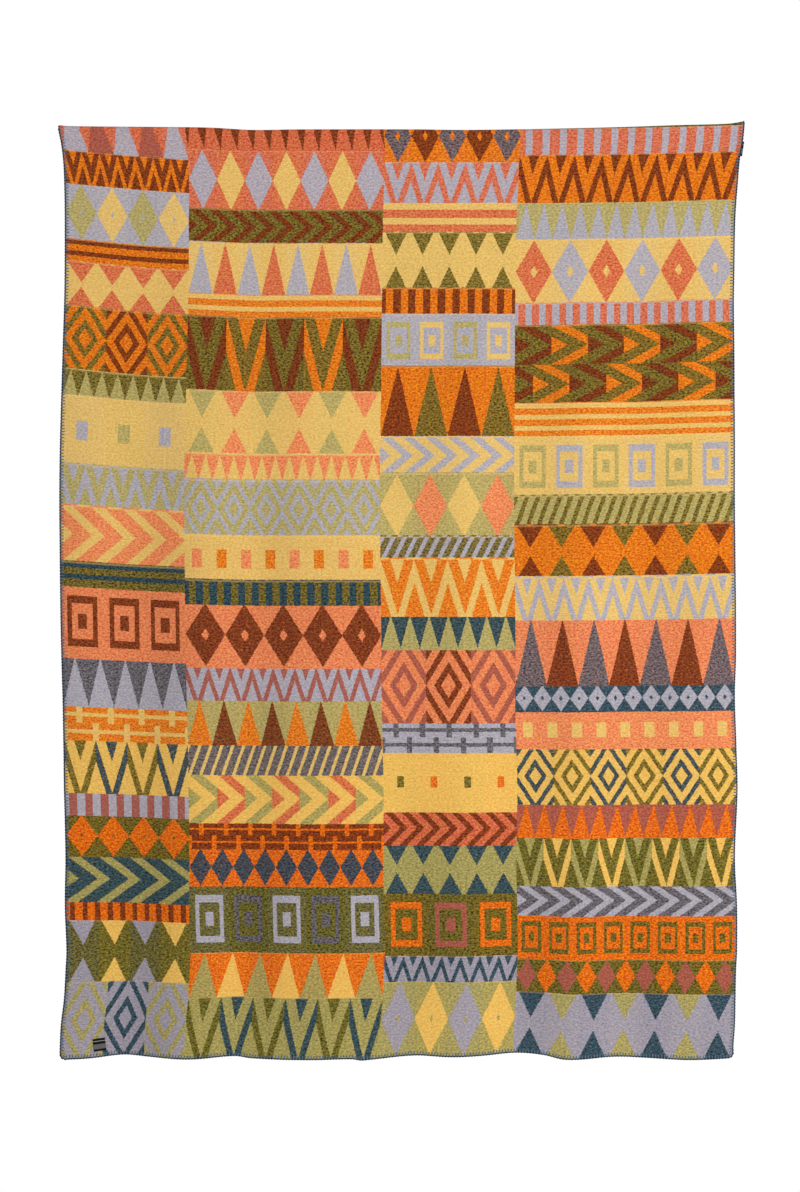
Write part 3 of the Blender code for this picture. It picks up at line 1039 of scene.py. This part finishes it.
def make_edge_yarn(name, dark, pale):
    """Two-ply wool yarn in petrol, with pale fibres and a painted highlight along its plies."""
    material, tree, shader = new_material(name)
    place = add(tree, "TexCoord").outputs["Object"]
    ply = {"Vector": place, "Scale": 1 / PLY_LENGTH, "Detail": 3, "Roughness": 0.7}
    plies = add(tree, "TexNoise", {}, ply)
    # Paler streaks on the plies: partly pale fibres, partly a painted highlight.
    lights = add(tree, "MapRange", {}, {0: plies, 1: 0.35, 2: 0.7})
    tints = {MIX_A: (*linear(dark), 1), MIX_B: (*linear(pale), 1)}
    colour = add(tree, "Mix", {"data_type": "RGBA"}, {0: lights, **tints})
    bump = add(tree, "Bump", {}, {"Strength": 0.6, "Distance": 0.4 * MM, "Height": plies})
    tree.links.new(colour.outputs[2], shader.inputs["Base Color"])
    tree.links.new(bump.outputs[0], shader.inputs["Normal"])
    shader.inputs["Roughness"].default_value = 0.85
    shader.inputs["Specular IOR Level"].default_value = 0.3
    shader.inputs["Sheen Weight"].default_value = 0.1
    return material


bars.data.materials.append(make_edge_yarn("edge_yarn_felted", "2F4A60", "6D8799"))
purl.data.materials.append(make_edge_yarn("edge_yarn", "050B13", "1E3142"))

# %% [markdown]
# ## The labels
#
# Two small labels of black woven satin tape. One is sewn to the face near the lower left corner, and
# one behind the right edge near the top, so that only its edge stands out. Each has a plain grey band
# and a pale line.

# %% The size, middle and turn of each label, and the side of the cloth that it lies on
Label = namedtuple("Label", "name width height x z turn side")
EDGE_LABEL_WIDTH = 16 * MM
EDGE_LABEL_PROUD = 4 * MM
EDGE_LABEL_DOWN = 36.5 * MM
edge_x = side_to_side(1.0, EDGE_LABEL_DOWN) + EDGE_LABEL_PROUD - EDGE_LABEL_WIDTH / 2
LABELS = [
    Label("front_label", 23 * MM, 24 * MM, -0.574, -1.739, math.radians(6), -1),
    Label("edge_label", EDGE_LABEL_WIDTH, 28 * MM, edge_x, -EDGE_LABEL_DOWN, math.radians(-8.5), 1),
]
bpy.context.view_layer.update()
skin = BVHTree.FromObject(cloth, bpy.context.evaluated_depsgraph_get())
print("middle of the edge label:", round(edge_x, 4), -EDGE_LABEL_DOWN)

# %% Lay each label on the cloth
LABEL_STEPS = 14
LABEL_THICKNESS = 0.6 * MM
LABEL_GAP = 0.35 * MM
KEEP_ON_CLOTH = 5 * MM


def make_label(label):
    """A thin strip of tape laid on the skin of the cloth."""
    mesh = bmesh.new()
    bmesh.ops.create_grid(mesh, x_segments=LABEL_STEPS, y_segments=LABEL_STEPS, size=0.5)
    tape = mesh.loops.layers.uv.new("tape")
    for face in mesh.faces:
        for loop in face.loops:
            loop[tape].uv = (loop.vert.co.x + 0.5, loop.vert.co.y + 0.5)
    for vert in mesh.verts:
        upright = Vector((vert.co.x * label.width, 0, vert.co.y * label.height))
        x, _, z = Matrix.Rotation(-label.turn, 3, "Y") @ upright
        x += label.x
        z += label.z
        limit = side_to_side(1.0, -z) - KEEP_ON_CLOTH
        hit = skin.ray_cast(Vector((min(x, limit), label.side, z)), Vector((0, -label.side, 0)))[0]
        vert.co = Vector((x, hit.y + label.side * (LABEL_GAP + LABEL_THICKNESS / 2), z))
    piece = finished(label.name + "_tape", mesh)
    thicken(piece, LABEL_THICKNESS)
    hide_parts(label.name)
    return piece


labels = [make_label(label) for label in LABELS]
print("labels:", [piece.name for piece in labels])

# %% [markdown]
# The tape is woven in polyester: a warp satin, nearly black, with fine ribs across and a soft shine along
# them. The grey band and the pale line are extra wefts that come to the face.

# %% The satin of the labels
# At a scale of 1 the wave texture repeats every 0.314 of its coordinate.
RIB = 0.45 * MM
WAVE_LENGTH = 0.314


def make_satin():
    """Black satin tape with fine ribs, a grey woven band and a pale line."""
    material, tree, shader = new_material("label_satin")
    tape = add(tree, "UVMap", {"uv_map": "tape"})
    size = (LABELS[0].width, LABELS[0].height, 1)
    metres = add(tree, "VectorMath", "MULTIPLY", {0: tape, 1: size})
    ripple = {"Vector": metres, "Scale": WAVE_LENGTH / RIB, "Distortion": 1.0}
    ribs = add(tree, "TexWave", {"bands_direction": "Y"}, ripple)
    down = add(tree, "SeparateXYZ", {}, {0: tape}).outputs["Y"]
    stops = [(at, linear(code)) for at, code in (
        (0.0, "060608"), (0.17, "5E5B5D"), (0.55, "060608"), (0.77, "A9A49C"), (0.81, "060608"))]
    lines = add(tree, "ValToRGB", {"stops": stops}, {0: down})
    tone = add(tree, "MapRange", {}, {0: ribs, 3: 0.75, 4: 1.2})
    toned = add(tree, "HueSaturation", {}, {"Value": tone, "Color": lines})
    bump = add(tree, "Bump", {}, {"Strength": 0.4, "Distance": 0.1 * MM, "Height": ribs})
    tree.links.new(toned.outputs[0], shader.inputs["Base Color"])
    tree.links.new(bump.outputs[0], shader.inputs["Normal"])
    shader.inputs["Roughness"].default_value = 0.5
    shader.inputs["Specular IOR Level"].default_value = 0.1
    shader.inputs["Anisotropic"].default_value = 0.4
    return material


satin = make_satin()
for piece in labels:
    piece.data.materials.append(satin)

# %% [markdown]
# ## Floor, light and camera
#
# A plain pale floor lies well below the hem. The light is that of a bright room: a white world, a broad
# soft light from the right and a weak one from the upper left, so the felt looks matt, the soft folds
# show only as slow changes of tone, and the lower left is a little dimmer. A third light fills the back.
# The camera looks straight on from 5.4 m.

# %% Floor
FLOOR_Z = -2.35
FLOOR_RADIUS = 1.5


def make_floor():
    """A round, matt, pale floor under the blanket."""
    mesh = bmesh.new()
    bmesh.ops.create_circle(mesh, cap_ends=True, segments=96, radius=FLOOR_RADIUS)
    bmesh.ops.translate(mesh, vec=(0, 0, FLOOR_Z), verts=mesh.verts)
    data = bpy.data.meshes.new("floor")
    mesh.to_mesh(data)
    mesh.free()
    floor = bpy.data.objects.new("floor", data)
    bpy.context.scene.collection.objects.link(floor)
    material, tree, shader = new_material("pale_floor")
    speckle = add(tree, "TexNoise", {}, {"Scale": 40, "Detail": 4})
    tone = add(tree, "MapRange", {}, {0: speckle, 3: 0.76, 4: 0.82})
    tree.links.new(tone.outputs[0], shader.inputs["Base Color"])
    shader.inputs["Roughness"].default_value = 0.8
    data.materials.append(material)
    return floor


make_floor()

# %% World and lights
SEEN_WHITE = 1.0
ROOM_LIGHT = 0.3
world = bpy.data.worlds.new("studio")
bpy.context.scene.world = world
world.use_nodes = True
seen = add(world.node_tree, "LightPath")
light_or_sight = {0: seen.outputs["Is Camera Ray"], 3: ROOM_LIGHT, 4: SEEN_WHITE}
strength = add(world.node_tree, "MapRange", {}, light_or_sight)
background = world.node_tree.nodes["Background"]
background.inputs["Color"].default_value = (1, 1, 1, 1)
world.node_tree.links.new(strength.outputs[0], background.inputs["Strength"])
bpy.context.scene.view_settings.view_transform = "Standard"

Lamp = namedtuple("Lamp", "name place size watts")
MIDDLE = Vector((0, 0, -0.88))
for lamp in (
    Lamp("key", (1.8, -3.0, -0.9), 1.8, 99),
    Lamp("fill", (-0.8, -1.6, 1.0), 1.0, 15),
    Lamp("back", (-3.2, 2.6, 0.2), 2.4, 230),
):
    light = bpy.data.lights.new(lamp.name, "AREA")
    light.energy = lamp.watts
    light.size = lamp.size
    placed = bpy.data.objects.new(lamp.name, light)
    placed.location = lamp.place
    placed.rotation_euler = (MIDDLE - placed.location).to_track_quat("-Z", "Y").to_euler()
    bpy.context.scene.collection.objects.link(placed)
    print(lamp)

# %% Camera
CAMERA_PLACE = Vector((-0.003, -5.405, -0.8868))
FIELD_HEIGHT = 2.2635
SENSOR = 36
camera_data = bpy.data.cameras.new("camera")
camera_data.sensor_width = SENSOR
camera_data.lens = SENSOR * (-CAMERA_PLACE.y - ROLL_RADIUS) / FIELD_HEIGHT
camera = bpy.data.objects.new("camera", camera_data)
camera.location = CAMERA_PLACE
camera.rotation_euler = (math.pi / 2, 0, 0)
bpy.context.scene.collection.objects.link(camera)
bpy.context.scene.camera = camera
print("lens:", round(camera_data.lens, 2), "mm")
